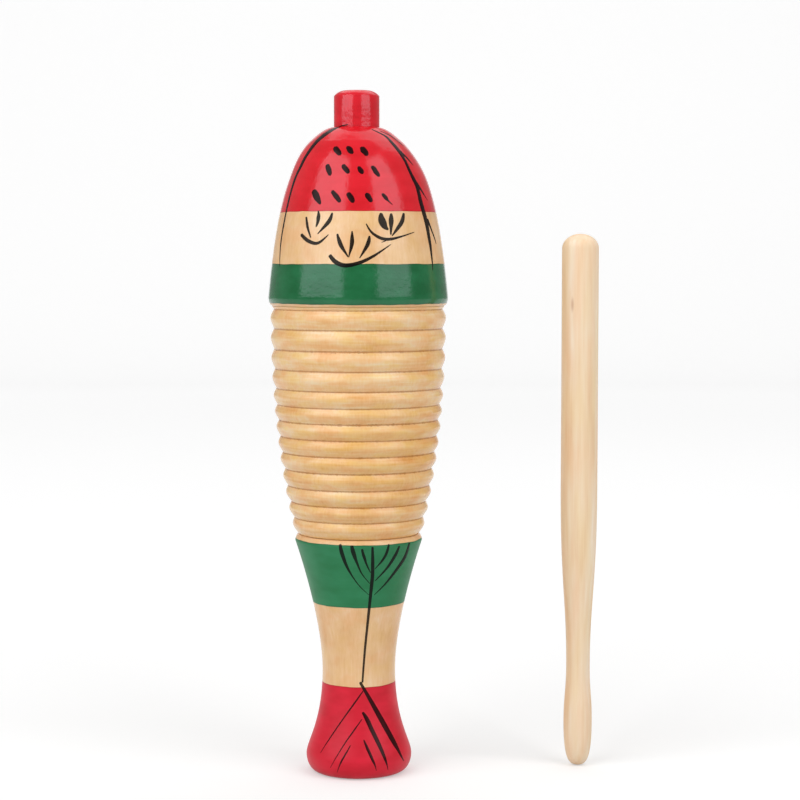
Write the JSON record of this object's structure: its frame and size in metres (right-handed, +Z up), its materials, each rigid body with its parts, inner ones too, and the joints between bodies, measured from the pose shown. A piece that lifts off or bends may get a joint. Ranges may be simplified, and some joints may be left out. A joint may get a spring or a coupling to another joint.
{
  "type": "guiro",
  "caption": "Fish-shaped turned wooden guiro standing on its flat tail, with a hollow ribbed barrel, a painted head with a bored mouth, and a slim turned stick that scrapes the ribs.",
  "frame": {"origin": "centre of the flat foot under the tail, on the surface the guiro stands on", "axes": "+Z up the guiro's turning axis from tail to mouth, +X towards the scraper stick, +Y away from the viewer of the picture"},
  "size_m": [0.102, 0.0552, 0.21],
  "materials": {
    "painted_tail_wood": "gloss paint in bands over turned wood",
    "lacquered_wood": "clear lacquer",
    "painted_head_wood": "gloss paint in bands over turned wood",
    "pale_stick_wood": "sanded, unpainted"
  },
  "bodies": {
    "guiro": {"tail_handle": "painted_tail_wood", "ribbed_barrel": "lacquered_wood", "head": "painted_head_wood", "mouth_tube": "painted_head_wood"},
    "stick": {"scraper_stick": "pale_stick_wood"}
  },
  "joints": [
    {"name": "stick_stroke", "type": "slide", "parent": "guiro", "child": "stick", "axis": [0, 0, 1], "range_m": [0, 0.127]}
  ]
}
